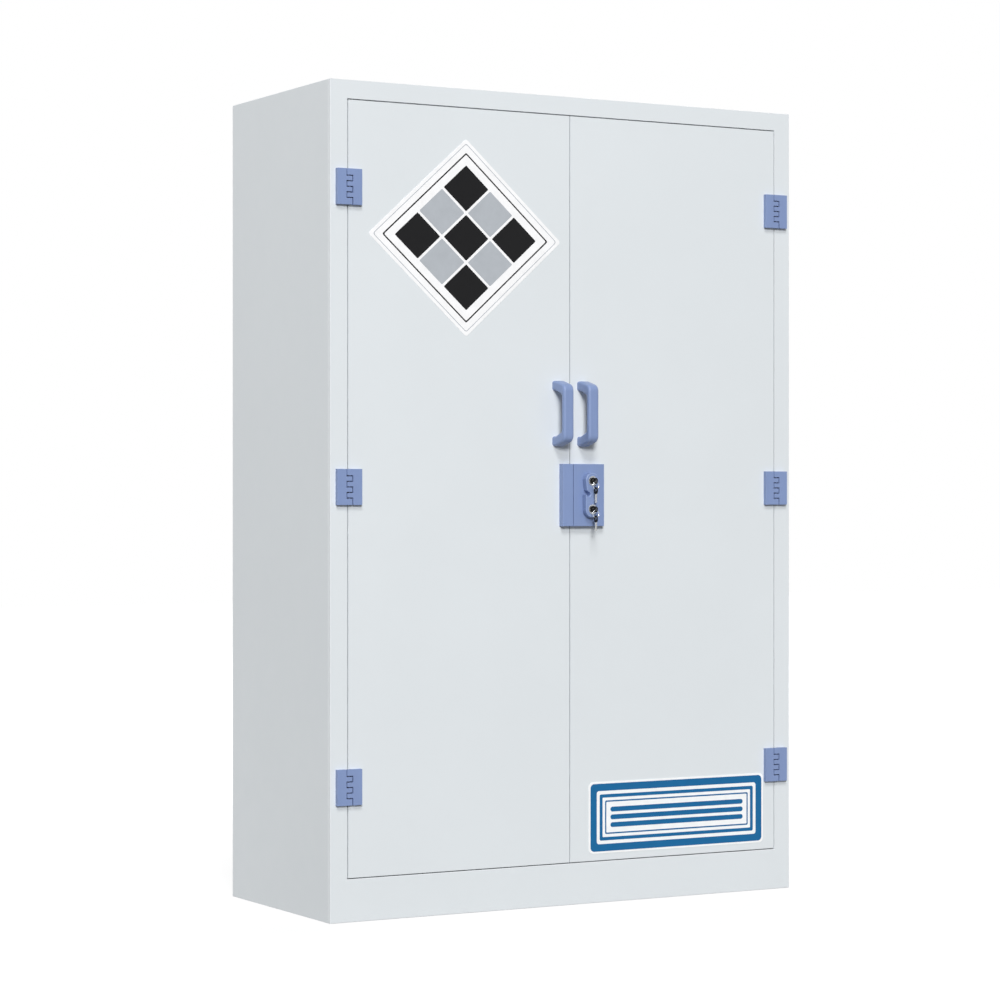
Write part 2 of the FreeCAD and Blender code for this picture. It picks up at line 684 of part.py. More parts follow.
def build_screws(label, sheet_back, centres):
    body = new_body(label)
    heads = new_sketch(body, "XZ_Plane", "%s - screw_head_height" % sheet_back)
    shanks = new_sketch(body, "XZ_Plane", sheet_back)
    slots = new_sketch(body, "XZ_Plane", "%s - screw_head_height" % sheet_back)
    for x, level in centres:
        draw_circle(heads, (x, level), "screw_head_radius")
        draw_circle(shanks, (x, level), "screw_radius")
        draw_rectangle(slots, x + " - screw_head_radius", level + " - screw_slot / 2",
                       x + " + screw_head_radius", level + " + screw_slot / 2")
    pad(body, heads, "screw_head_height")
    pad(body, shanks, "screw_length")
    pocket(body, slots, "screw_slot")


# Doors: an outer skin with the screw holes, a core of strips and an inner skin


def pull_screw_places(side):
    x = signed(side, "handle_spacing / 2")
    return [(x, "handle_level - foot_line"), (x, "handle_level + foot_line")]


def lock_screw_places(side):
    lines = [signed(side, "lock_screw_near")]
    if side > 0:
        lines.append("case_width - lock_screw_margin")
    centres = []
    for x in lines:
        centres.append((x, "lock_level - lock_screw_line"))
        centres.append((x, "lock_level + lock_screw_line"))
    return centres


def build_core(label, side):
    """The door's edge strips, and cross strips half way between the fittings, as one welded grid."""
    body = new_body(label)
    sketch = new_sketch(body, "XZ_Plane", "core_back")
    draw_rectangle(sketch, signed(side, "door_inner"), "door_bottom", signed(side, "door_outer"), "door_top")
    lock_foot = "lock_level - lock_height / 2"
    lock_head = "lock_level + lock_height / 2"
    handle_foot = "handle_level - handle_foot_span / 2"
    handle_head = "handle_level + handle_foot_span / 2"
    top_leaf_foot = "hinge_top_level - hinge_height / 2"
    bottom_leaf_head = "hinge_bottom_level + hinge_height / 2"
    low = "door_bottom + core_strip"
    for below, above in ((bottom_leaf_head, lock_foot), (lock_head, handle_foot),
                         (handle_head, top_leaf_foot)):
        middle = "(%s + %s) / 2" % (below, above)
        draw_rectangle(sketch, signed(side, "door_inner + core_strip"), low,
                       signed(side, "door_outer - core_strip"), middle + " - core_strip / 2")
        low = middle + " + core_strip / 2"
    draw_rectangle(sketch, signed(side, "door_inner + core_strip"), low,
                   signed(side, "door_outer - core_strip"), "door_top - core_strip")
    pad(body, sketch, "door_core")


def build_door(name, side):
    corners = ((signed(side, "door_inner"), "door_bottom"), (signed(side, "door_outer"), "door_top"))
    centres = hinge_screw_places(signed(side, "hinge_line - leaf_screw_line"))
    centres += pull_screw_places(side)
    centres += lock_screw_places(side)
    skin = slab(name + "_door_outer_skin", "skin_back", "face", corners,
                [(centre, SCREW_HOLE) for centre in centres])
    face = number("face")
    dress(skin, "Fillet", "skin_round",
          lambda edge: at_front(edge, face) and edge.Curve.TypeId == "Part::GeomLine")
    build_core(name + "_door_core", side)
    slab(name + "_door_inner_skin", "door_back", "core_back",
         ((signed(side, "door_inner + inner_skin_inset"), "door_bottom + inner_skin_inset"),
          (signed(side, "door_outer - inner_skin_inset"), "door_top - inner_skin_inset")))
    build_screws(name + "_door_screws", "skin_back", centres)


build_screws("frame_screws", "frame_back", frame_screws)
for name, side in SIDES.items():
    build_door(name, side)


# Pull handles: a bow with sloping arms, drawn from the side


def build_handle(name, side):
    body = new_body(name + "_door_handle")
    place(body, signed(side, "handle_spacing / 2"), "face", "handle_level")
    profile = new_sketch(body, "YZ_Plane")
    outer = ["handle_foot_span / 2", "handle_front_span / 2"]
    inner = ["handle_foot_span / 2 - foot_height", "handle_front_span / 2 - arm_height"]
    back = "grip_depth - handle_reach"
    draw_polygon(profile, [
        ("0", outer[0]), ("-handle_reach", outer[1]), ("-handle_reach", "-(%s)" % outer[1]),
        ("0", "-(%s)" % outer[0]), ("0", "-(%s)" % inner[0]), (back, "-(%s)" % inner[1]),
        (back, inner[1]), ("0", inner[0])])
    pad(body, profile, "handle_width", midplane=True)
    reach = number("handle_reach")
    grip_back = number("handle_reach - grip_depth")

    def runs_across(edge, forward):
        return at_front(edge, forward) and edge.BoundBox.ZLength < TOUCH

    dress(body, "Fillet", "handle_outer_corner", lambda edge: runs_across(edge, reach))
    dress(body, "Fillet", "handle_inner_corner", lambda edge: runs_across(edge, grip_back))
    half = number("handle_width / 2")

    def along_bow(edge):
        box = edge.BoundBox
        on_side = abs(abs(box.XMin) - half) < TOUCH and box.XLength < TOUCH
        return on_side and not at_front(edge, 0)

    dress(body, "Fillet", "handle_edge_round", along_bow)
    bore(body, "0", "handle_hole_depth", [("0", "foot_line"), ("0", "-foot_line")],
         "screw_radius + thread_fit")


for name, side in SIDES.items():
    build_handle(name, side)


# Lock: strike block on the left door, case and boss on the right door


def plug_level(direction):
    return "lock_level + %d * plug_pitch / 2" % direction


def build_strike():
    body = slab("strike_block", "face", "lock_front",
                (("-strike_width", "lock_level - lock_height / 2"),
                 ("-lock_seam / 2", "lock_level + lock_height / 2")))
    slots = new_sketch(body, "XZ_Plane", "face")
    for direction in (-1, 1):
        middle = plug_level(direction)
        near = "%s - %d * (cam_sweep + cam_sweep_margin)" % (middle, direction)
        away = "%s + %d * (cam_width / 2 + cam_sweep_margin)" % (middle, direction)
        draw_rectangle(slots, "plug_offset - cam_reach - cam_slot_margin", near, "0", away)
    pocket(body, slots, "cavity_depth")
    finish_lock_plate(body, -1)


def build_lock_case():
    body = slab("lock_case", "face", "lock_front",
                (("lock_seam / 2", "lock_level - lock_height / 2"),
                 ("case_width", "lock_level + lock_height / 2")))
    cavity = new_sketch(body, "XZ_Plane", "face")
    draw_rectangle(cavity, "0", "lock_level - plug_pitch / 2 - cavity_margin",
                   "plug_offset + cavity_margin", "lock_level + plug_pitch / 2 + cavity_margin")
    pocket(body, cavity, "cavity_depth")
    bore(body, "face", "lock_thickness", [("plug_offset", plug_level(way)) for way in (-1, 1)],
         "barrel_radius + barrel_fit")
    finish_lock_plate(body, 1)


def finish_lock_plate(body, side):
    """Blind screw holes from behind, then the rounded front edges."""
    bore(body, "face", "screw_length - outer_skin + blind_margin", lock_screw_places(side),
         "screw_radius + thread_fit")
    front = number("lock_front")
    dress(body, "Fillet", "lock_edge_round",
          lambda edge: at_front(edge, front) and edge.Curve.TypeId == "Part::GeomLine")


def build_boss():
    """The raised boss, drawn round its own middle and set down at the lock's level."""
    body = new_body("lock_boss")
    place(body, "plug_offset", "0", "lock_level")
    outline = new_sketch(body, "XZ_Plane", "lock_front")
    reach = "boss_height / 2 - boss_width / 2"
    draw_slot(outline, ("0", "-(%s)" % reach), ("0", reach), "boss_width / 2")
    pad(body, outline, "boss_thickness")
    bore(body, "lock_front", "boss_thickness",
         [("0", "%d * plug_pitch / 2" % way) for way in (-1, 1)], "barrel_radius + barrel_fit")
    notch = new_sketch(body, "XZ_Plane", "lock_front")
    draw_slot(notch, ("-boss_width / 2 - " + OVERRUN, "notch_rise + notch_slant"),
              ("notch_depth - boss_width / 2", "notch_rise"), "notch_radius")
    pocket(body, notch, "boss_thickness")
    front = number("boss_front")
    bore_radius = number("barrel_radius + barrel_fit")

    def on_outline(edge):
        is_arc = edge.Curve.TypeId == "Part::GeomCircle"
        on_bore = is_arc and abs(edge.Curve.Radius - bore_radius) < TOUCH
        return at_front(edge, front) and not on_bore

    dress(body, "Fillet", "boss_edge_round", on_outline)


def build_cylinder(name, direction):
    """The fixed outside of a key cylinder: bezel, barrel and the bore that the plug turns in."""
    body = new_body(name + "_lock_cylinder")
    place(body, "plug_offset", level=plug_level(direction))
    barrel = new_sketch(body, "XZ_Plane", "cavity_front")
    draw_circle(barrel, ("0", "0"), "barrel_radius")
    pad(body, barrel, "boss_front - (cavity_front)")
    bezel = new_sketch(body, "XZ_Plane", "boss_front")
    draw_circle(bezel, ("0", "0"), "bezel_radius")
    pad(body, bezel, "bezel_thickness")
    bore(body, "cavity_front", "bezel_front - (cavity_front)", [("0", "0")], "plug_radius + plug_fit")
    front = number("bezel_front")
    rim = number("bezel_radius")
    dress(body, "Chamfer", "bezel_chamfer",
          lambda edge: at_front(edge, front) and abs(edge.Curve.Radius - rim) < TOUCH)


def cam_back(direction):
    """Forward distance of the back of a cam. The upper cam lies behind the lower one."""
    step = "cam_step" if direction > 0 else "0"
    return "cavity_front - cam_gap - cam_thickness - " + step


def build_plug(name, direction):
    body = new_body(name + "_plug")
    place(body, "plug_offset", level=plug_level(direction))
    shoulder = cam_back(direction) + " + cam_thickness"
    round_part = new_sketch(body, "XZ_Plane", shoulder)
    draw_circle(round_part, ("0", "0"), "plug_radius")
    pad(body, round_part, "bezel_front - plug_inset - (%s)" % shoulder)
    tang = new_sketch(body, "XZ_Plane", cam_back(direction))
    draw_rectangle(tang, "-tang_width / 2", "-tang_width / 2", "tang_width / 2", "tang_width / 2")
    pad(body, tang, "cam_thickness")
    keyway = new_sketch(body, "XZ_Plane", "bezel_front - blade_length - keyway_margin")
    draw_rectangle(keyway, "-keyway_width / 2", "-keyway_height / 2", "keyway_width / 2", "keyway_height / 2")
    pocket(body, keyway, "blade_length + keyway_margin")


def build_cam(name, direction):
    """The cam hangs or stands upright when unlocked, towards the other plug."""
    body = new_body(name + "_cam")
    place(body, "plug_offset", level=plug_level(direction))
    outline = new_sketch(body, "XZ_Plane", cam_back(direction))
    tip = "%d * (cam_reach - cam_width / 2)" % -direction
    draw_slot(outline, ("0", "0"), ("0", tip), "cam_width / 2")
    draw_rectangle(outline, "-tang_width / 2", "-tang_width / 2", "tang_width / 2", "tang_width / 2")
    pad(body, outline, "cam_thickness")


def build_key(label, forward, level, turn):
    """A key with its shoulder at its own origin, blade along +Y before it is turned about X."""
    body = new_body(label)
    body.Placement = FreeCAD.Placement(FreeCAD.Vector(), FreeCAD.Rotation(FreeCAD.Vector(1, 0, 0), turn))
    place(body, "plug_offset", forward, level)
    head = new_sketch(body, "YZ_Plane")
    draw_rectangle(head, "-key_head_length", "-key_head_height / 2", "0", "key_head_height / 2")
    pad(body, head, "key_head_thickness", midplane=True)
    dress(body, "Fillet", "key_head_round", lambda edge: edge.BoundBox.XLength > TOUCH)
    hole = new_sketch(body, "YZ_Plane")
    draw_circle(hole, ("-key_hole_line", "0"), "key_hole_radius")
    pocket(body, hole, "key_head_thickness + " + OVERRUN, midplane=True)
    half = number("key_head_thickness / 2")

    def on_head_face(edge):
        box = edge.BoundBox
        return abs(abs(box.XMin) - half) < TOUCH and box.XLength < TOUCH

    dress(body, "Fillet", "key_rim_round", on_head_face)
    blade = new_sketch(body, "YZ_Plane")
    low = "-blade_height / 2"
    high = "blade_height / 2"
    step = "(blade_length + key_neck) / %d" % BLADE_PARTS
    outline = [("-key_head_round / 2", low)]
    for along, share in BITTING:
        outline.append(("%s * %g" % (step, along), "%s + blade_cut * %g" % (low, share)))
    outline.append(("%s * %d" % (step, BLADE_PARTS), "0"))
    outline.append(("%s * %g" % (step, TIP_START), high))
    outline.append(("-key_head_round / 2", high))
    draw_polygon(blade, outline)
    pad(body, blade, "blade_thickness", midplane=True)


def build_ring(name, direction):
    ring = doc.addObject("Part::Torus", name + "_key_ring")
    ring.Label = name + "_key_ring"
    ring.Placement = FreeCAD.Placement(FreeCAD.Vector(), FreeCAD.Rotation(FreeCAD.Vector(1, 0, 0), 90))
    bind(ring, "Radius1", "ring_radius")
    bind(ring, "Radius2", "wire_radius")
    place(ring, "plug_offset", "ring_forward", "%s - (ring_drop)" % plug_level(direction))


build_strike()
build_lock_case()
build_boss()
for name, direction in (("upper", 1), ("lower", -1)):
    build_cylinder(name, direction)
    build_plug(name, direction)
    build_cam(name, direction)
    build_key(name + "_key", "key_shoulder", plug_level(direction), 0)
    build_ring(name, direction)
    spare_shoulder = "%s - spare_hole_drop - key_hole_line" % plug_level(direction)
    build_key(name + "_spare_key", "ring_forward", spare_shoulder, -90)


# Labels: thin sheets on the doors' faces


def build_label(label, level, points, corner):
    body = new_body(label)
    place(body, level=level)
    sketch = new_sketch(body, "XZ_Plane", "face")
    draw_polygon(sketch, points)
    pad(body, sketch, "label_thickness")
    dress(body, "Fillet", corner, lambda edge: edge.BoundBox.YLength > TOUCH)


diamond_middle = "-(diamond_near + diamond_far) / 2"
build_label("diamond_plate", "opening_top - diamond_drop",
            [("-(diamond_far)", "0"), (diamond_middle, "-diamond_height / 2"),
             ("-(diamond_near)", "0"), (diamond_middle, "diamond_height / 2")], "diamond_round")
build_label("striped_label", "bottom_rail_height + striped_rise",
            [("striped_near", "-striped_height / 2"), ("striped_far", "-striped_height / 2"),
             ("striped_far", "striped_height / 2"), ("striped_near", "striped_height / 2")],
            "striped_round")


# Check every object, then write each sub-part to its own file

doc.recompute()
for thing in doc.Objects:
    if "Invalid" in thing.State or "Error" in thing.State:
        raise ValueError("%s is in error" % thing.Name)

pieces = [thing for thing in doc.Objects if thing.TypeId in ("PartDesign::Body", "Part::Torus")]
for piece in pieces:
    if piece.Shape.isNull() or not piece.Shape.isValid():
        raise ValueError("%s has no valid shape" % piece.Label)

os.makedirs("parts", exist_ok=True)
for piece in pieces:
    piece.Shape.exportStep("parts/%s.step" % piece.Label)
    print(piece.Label, len(piece.Shape.Solids), round(piece.Shape.Volume))
print(len(pieces), "sub-parts")
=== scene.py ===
import bmesh
import bpy
import json
import math
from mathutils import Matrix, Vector


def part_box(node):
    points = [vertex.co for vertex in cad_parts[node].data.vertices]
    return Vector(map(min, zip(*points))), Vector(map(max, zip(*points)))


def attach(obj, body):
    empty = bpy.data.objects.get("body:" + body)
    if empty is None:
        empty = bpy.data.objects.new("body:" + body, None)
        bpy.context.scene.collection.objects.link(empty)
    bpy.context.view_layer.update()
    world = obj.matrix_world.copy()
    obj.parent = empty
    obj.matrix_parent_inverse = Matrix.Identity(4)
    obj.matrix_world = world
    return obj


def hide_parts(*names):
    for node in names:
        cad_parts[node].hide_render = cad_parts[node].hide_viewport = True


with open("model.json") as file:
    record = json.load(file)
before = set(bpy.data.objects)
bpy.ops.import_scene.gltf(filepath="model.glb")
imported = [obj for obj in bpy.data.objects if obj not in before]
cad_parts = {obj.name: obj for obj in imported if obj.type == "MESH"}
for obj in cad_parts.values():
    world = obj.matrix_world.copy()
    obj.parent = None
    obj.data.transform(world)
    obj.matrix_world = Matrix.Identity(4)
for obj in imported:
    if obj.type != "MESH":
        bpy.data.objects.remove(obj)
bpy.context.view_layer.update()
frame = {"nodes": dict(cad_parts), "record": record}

MM = 0.001
SUBPARTS = {entry["node"]: entry for entry in frame["record"]["subparts"]}
BODIES = frame["record"]["behaviour"]["bodies"]
BODY_OF = {node: body for body, nodes in BODIES.items() for node in nodes}


# Colours: written as they look in daylight, turned into the renderer's linear values


def linear(channel):
    share = channel / 255
    return share / 12.92 if share <= 0.04045 else ((share + 0.055) / 1.055) ** 2.4


def tone(red, green, blue, gain=1.0):
    return tuple(min(1.0, linear(channel) * gain) for channel in (red, green, blue)) + (1.0,)


# Materials


class Finish:
    """A material whose colour, roughness and relief come from textures in the object's own space."""

    def __init__(self, name, metallic=0.0, ior=1.5):
        self.material = bpy.data.materials.new(name)
        self.material.use_nodes = True
        self.nodes = self.material.node_tree.nodes
        self.links = self.material.node_tree.links
        self.shader = self.nodes["Principled BSDF"]
        self.shader.inputs["Metallic"].default_value = metallic
        self.shader.inputs["IOR"].default_value = ior
        self.coords = self.nodes.new("ShaderNodeTexCoord").outputs["Object"]
        self.relief = None

    def noise(self, scale, detail=2.0, stretch=None, roughness=0.5):
        vector = self.coords
        if stretch:
            mapping = self.nodes.new("ShaderNodeMapping")
            mapping.inputs["Scale"].default_value = stretch
            self.links.new(vector, mapping.inputs["Vector"])
            vector = mapping.outputs["Vector"]
        node = self.nodes.new("ShaderNodeTexNoise")
        node.inputs["Scale"].default_value = scale
        node.inputs["Detail"].default_value = detail
        node.inputs["Roughness"].default_value = roughness
        self.links.new(vector, node.inputs["Vector"])
        return node.outputs["Fac"]

    def spread(self, value, low, high, start=0.3, end=0.7):
        node = self.nodes.new("ShaderNodeMapRange")
        node.inputs["From Min"].default_value = start
        node.inputs["From Max"].default_value = end
        node.inputs["To Min"].default_value = low
        node.inputs["To Max"].default_value = high
        self.links.new(value, node.inputs["Value"])
        return node.outputs["Result"]

    def mix(self, factor, first, second):
        node = self.nodes.new("ShaderNodeMix")
        node.data_type = "RGBA"
        self.links.new(factor, node.inputs["Factor"])
        for socket, colour in ((node.inputs["A"], first), (node.inputs["B"], second)):
            if isinstance(colour, tuple):
                socket.default_value = colour
            else:
                self.links.new(colour, socket)
        return node.outputs["Result"]

    def colour(self, output):
        self.links.new(output, self.shader.inputs["Base Color"])

    def roughness(self, output):
        self.links.new(output, self.shader.inputs["Roughness"])

    def bump(self, height, depth, strength=1.0):
        node = self.nodes.new("ShaderNodeBump")
        node.inputs["Distance"].default_value = depth
        node.inputs["Strength"].default_value = strength
        self.links.new(height, node.inputs["Height"])
        if self.relief:
            self.links.new(self.relief, node.inputs["Normal"])
        self.relief = node.outputs["Normal"]
        self.links.new(self.relief, self.shader.inputs["Normal"])


def sheet_finish(name, colour, shade, rough=0.42):
    """Extruded polypropylene sheet: faintly clouded, satin, with a fine grain and hair-thin scuffs."""
    finish = Finish(name)
    clouds = finish.spread(finish.noise(3.2, 4.0), 0.0, 1.0)
    body = finish.mix(clouds, tone(*colour, gain=1 - shade), tone(*colour, gain=1 + shade))
    specks = finish.spread(finish.noise(900.0, 2.0), 0.0, 0.05, 0.62, 0.75)
    body = finish.mix(specks, body, tone(196, 200, 205))
    scuffs = finish.spread(finish.noise(9.0, 6.0, (1.0, 1.0, 26.0)), 0.0, 0.35, 0.66, 0.78)
    finish.colour(finish.mix(scuffs, body, tone(*colour, gain=1 + 2 * shade)))
    finish.roughness(finish.spread(finish.noise(28.0, 5.0), rough - 0.07, rough + 0.09))
    finish.bump(finish.noise(2.4, 2.0), 0.0011, 0.35)
    finish.bump(finish.noise(1300.0, 2.0), 0.00003, 0.45)
    return finish.material


def moulded_finish(name, colour, shade=0.035, rough=0.40, grain=1700.0, depth=0.00004, shine=0.5):
    """Injection-moulded plastic: a fine eroded grain, slight flow clouding and polished wear."""
    finish = Finish(name)
    finish.shader.inputs["Specular IOR Level"].default_value = shine
    flow = finish.spread(finish.noise(26.0, 3.0, (1.0, 1.0, 0.35)), 0.0, 1.0)
    body = finish.mix(flow, tone(*colour, gain=1 - shade), tone(*colour, gain=1 + shade))
    dust = finish.spread(finish.noise(420.0, 3.0), 0.0, 0.18, 0.6, 0.78)
    finish.colour(finish.mix(dust, body, tone(*colour, gain=1.35)))
    finish.roughness(finish.spread(finish.noise(60.0, 4.0), rough - 0.08, rough + 0.08))
    finish.bump(finish.noise(grain, 2.0), depth, 0.5)
    return finish.material


def metal_finish(name, colour, rough=0.22, brushed=(1.0, 1.0, 1.0), scale=700.0):
    finish = Finish(name, metallic=1.0)
    tarnish = finish.spread(finish.noise(300.0, 3.0), 0.0, 1.0)
    finish.colour(finish.mix(tarnish, tone(*colour, gain=0.86), tone(*colour)))
    finish.roughness(finish.spread(finish.noise(scale, 3.0, brushed), rough - 0.07, rough + 0.1))
    finish.bump(finish.noise(scale * 2, 2.0, brushed), 0.00002, 0.3)
    return finish.material


def printed_finish(name, colour, rough=0.36, shine=0.5):
    """Screen-printed vinyl film: nearly even, with the ink's faint orange peel."""
    finish = Finish(name)
    finish.shader.inputs["Specular IOR Level"].default_value = shine
    ink = finish.spread(finish.noise(55.0, 3.0), 0.0, 1.0)
    finish.colour(finish.mix(ink, tone(*colour, gain=0.97), tone(*colour, gain=1.03)))
    finish.roughness(finish.spread(finish.noise(90.0, 3.0), rough - 0.05, rough + 0.06))
    finish.bump(finish.noise(1900.0, 2.0), 0.00001, 0.4)
    return finish.material


MATERIALS = {
    "white_sheet": sheet_finish("white_sheet_finish", (222, 227, 230), 0.012),
    "inner_white": sheet_finish("inner_white_finish", (225, 229, 232), 0.018, 0.46),
    "blue_plastic": moulded_finish("blue_plastic_finish", (126, 145, 187)),
    "white_screw": moulded_finish("white_screw_finish", (226, 228, 230)),
    # The hinge pin is coloured dark blue as painted shade, so the seams between the fingers look like deep shadow
    # instead of showing a light rod.
    "pin_plastic": moulded_finish("pin_painted_shade_finish", (66, 76, 112)),
    "chrome": metal_finish("chrome_finish", (184, 187, 193), 0.2),
    "plug_black": moulded_finish("plug_black_finish", (18, 18, 20), rough=0.45, grain=2400.0, shine=0.2),
    "cam_steel": metal_finish("cam_steel_finish", (190, 190, 188), 0.34, (1.0, 1.0, 14.0)),
    "key_metal": metal_finish("key_metal_finish", (208, 208, 205), 0.28, (1.0, 12.0, 1.0)),
    "ring_steel": metal_finish("ring_steel_finish", (214, 216, 218), 0.2),
    "diamond_vinyl": printed_finish("diamond_white_finish", (249, 249, 250)),
    "striped_vinyl": printed_finish("striped_white_finish", (248, 249, 250)),
}
# A lighter, glossier copy of the white sheet for the rounded edges: the lighter colour is a painted highlight
# along every edge.
SHEET_EDGE_PAINTED_HIGHLIGHT = sheet_finish("sheet_edge_painted_highlight_finish", (230, 233, 236), 0.01, 0.36)
# A lighter, glossier copy of the blue plastic for the rounded edges of hinges, lock and plates: the lighter
# colour is a painted highlight.
BLUE_EDGE_PAINTED_HIGHLIGHT = moulded_finish("blue_edge_painted_highlight_finish", (132, 151, 193), rough=0.34)
KEY_BLACK = moulded_finish("key_black_finish", (16, 16, 18), rough=0.48, grain=2600.0, shine=0.2)
WELD = sheet_finish("weld_finish", (231, 234, 236), 0.02, 0.34)
INK_BLACK = printed_finish("ink_black_finish", (14, 14, 16), 0.42, shine=0.18)
INK_GREY = printed_finish("ink_grey_finish", (176, 181, 187))
INK_BLUE = printed_finish("ink_blue_finish", (12, 98, 150), 0.4, shine=0.3)

for name, node in frame["nodes"].items():
    finish = MATERIALS[SUBPARTS[name]["material_slot"]]
    if not node.material_slots:
        node.data.materials.append(finish)
    for place in node.material_slots:
        place.material = finish


# Pieces


def add_piece(name, shape, materials, body, replaced=(), bevel=0.0, steps=3, smooth=35):
    mesh = bpy.data.meshes.new(name)
    shape.to_mesh(mesh)
    shape.free()
    piece = bpy.data.objects.new(name, mesh)
    bpy.context.scene.collection.objects.link(piece)
    for material in materials:
        mesh.materials.append(material)
    mesh.shade_smooth()
    if bevel:
        rounding = piece.modifiers.new("rounded_edges", "BEVEL")
        rounding.width = bevel
        rounding.segments = steps
        rounding.limit_method = "ANGLE"
        rounding.angle_limit = math.radians(smooth)
        # The rounded faces take the last material; where that is a lighter edge copy, it paints a highlight on
        # the edges.
        rounding.material = len(materials) - 1
        shading = piece.modifiers.new("flat_faces_first", "WEIGHTED_NORMAL")
        shading.weight = 100
    else:
        mesh.set_sharp_from_angle(angle=math.radians(smooth))
    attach(piece, body)
    if replaced:
        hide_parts(*replaced)
    return piece


def soften(node, width, edge=None, steps=3):
    """A copy of a node's solid with small rounded edges in place of its sharp ones."""
    shape = bmesh.new()
    shape.from_mesh(frame["nodes"][node].data)
    bmesh.ops.remove_doubles(shape, verts=shape.verts, dist=0.002 * MM)
    bmesh.ops.dissolve_limit(shape, angle_limit=math.radians(0.5), verts=shape.verts, edges=shape.edges)
    for face in shape.faces:
        face.material_index = 0
    slot = SUBPARTS[node]["material_slot"]
    materials = [MATERIALS[slot], edge or MATERIALS[slot]]
    add_piece(node + "_rounded", shape, materials, BODY_OF[node], [node], width, steps)


def prism(shape, outline, back, front, lift=lambda u, v, depth: Vector((u, -depth, v))):
    """Extrudes a closed outline of (across, up) points between two distances forward of the middle."""
    rear = [shape.verts.new(lift(u, v, back)) for u, v in outline]
    near = [shape.verts.new(lift(u, v, front)) for u, v in outline]
    shape.faces.new(near)
    shape.faces.new(list(reversed(rear)))
    for index in range(len(outline)):
        after = (index + 1) % len(outline)
        shape.faces.new((rear[index], rear[after], near[after], near[index]))
    bmesh.ops.recalc_face_normals(shape, faces=shape.faces)


def ring_prism(shape, outer, inner, back, front, lift=lambda u, v, depth: Vector((u, -depth, v))):
    """The same for the area between two outlines with equal numbers of points."""
    loops = []
    for outline in (outer, inner):
        for depth in (back, front):
            loops.append([shape.verts.new(lift(u, v, depth)) for u, v in outline])
    outer_back, outer_front, inner_back, inner_front = loops
    count = len(outer)
    for index in range(count):
        after = (index + 1) % count
        shape.faces.new((outer_front[index], outer_front[after], inner_front[after], inner_front[index]))
        shape.faces.new((outer_back[after], outer_back[index], inner_back[index], inner_back[after]))
        shape.faces.new((outer_back[index], outer_back[after], outer_front[after], outer_front[index]))
        shape.faces.new((inner_back[after], inner_back[index], inner_front[index], inner_front[after]))
    bmesh.ops.recalc_face_normals(shape, faces=shape.faces)


def rounded_outline(corners, radius, steps=8):
    """A polygon with each corner replaced by an arc."""
    outline = []
    count = len(corners)
    for index, (u, v) in enumerate(corners):
        corner = Vector((u, v))
        before = (Vector(corners[index - 1]) - corner).normalized()
        after = (Vector(corners[(index + 1) % count]) - corner).normalized()
        half = before.angle(after) / 2
        middle = corner + (before + after).normalized() * (radius / math.sin(half))
        start = corner + before * (radius / math.tan(half)) - middle
        end = corner + after * (radius / math.tan(half)) - middle
        turn = start.angle_signed(end)
        for step in range(steps + 1):
            angle = -turn * step / steps
            cosine, sine = math.cos(angle), math.sin(angle)
            outline.append((middle.x + start.x * cosine - start.y * sine,
                            middle.y + start.x * sine + start.y * cosine))
    return outline


def rectangle(left, low, right, high):
    return [(left, low), (right, low), (right, high), (left, high)]


def lozenge(x, z, half_width, half_height):
    return [(x + half_width, z), (x, z + half_height), (x - half_width, z), (x, z - half_height)]


# Front frame: both stiles and both rails as one plate, its seams dressed flush

SHEET_ROUND = 0.9 * MM
stile_left, stile_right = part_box("front_stile_left"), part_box("front_stile_right")
rail_top, rail_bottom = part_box("top_rail"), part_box("bottom_rail")
front_plate = bmesh.new()
ring_prism(front_plate,
           rectangle(stile_left[0].x, stile_left[0].z, stile_right[1].x, stile_left[1].z),
           rectangle(stile_left[1].x, rail_bottom[1].z, stile_right[0].x, rail_top[0].z),
           -stile_left[1].y, -stile_left[0].y)
add_piece("front_frame_plate", front_plate, [MATERIALS["white_sheet"], SHEET_EDGE_PAINTED_HIGHLIGHT], "cabinet",
          ["front_stile_left", "front_stile_right", "top_rail", "bottom_rail"],
          SHEET_ROUND)

# Sheets and mouldings that keep their solid's shape, with soft edges

for node in ("side_panel_left", "side_panel_right", "top_panel", "back_panel"):
    soften(node, 0.6 * MM, SHEET_EDGE_PAINTED_HIGHLIGHT)
for side in ("left", "right"):
    soften(side + "_door_inner_skin", 0.8 * MM, SHEET_EDGE_PAINTED_HIGHLIGHT)
    soften("peg_strips_" + side, 0.8 * MM, SHEET_EDGE_PAINTED_HIGHLIGHT)
for node in ("upper_tray", "lower_tray"):
    soften(node, 0.7 * MM, SHEET_EDGE_PAINTED_HIGHLIGHT)
soften("shelf_pegs", 0.8 * MM)
for node in ("strike_block", "lock_case"):
    soften(node, 0.35 * MM, BLUE_EDGE_PAINTED_HIGHLIGHT)

# Raised lock boss: a stadium with a slanted notch in its free side

BOSS_ROUND = 2.6 * MM
NOTCH_RADIUS, NOTCH_DEPTH, NOTCH_INNER, NOTCH_OUTER = 4.5 * MM, 6 * MM, 1.5 * MM, 5.5 * MM


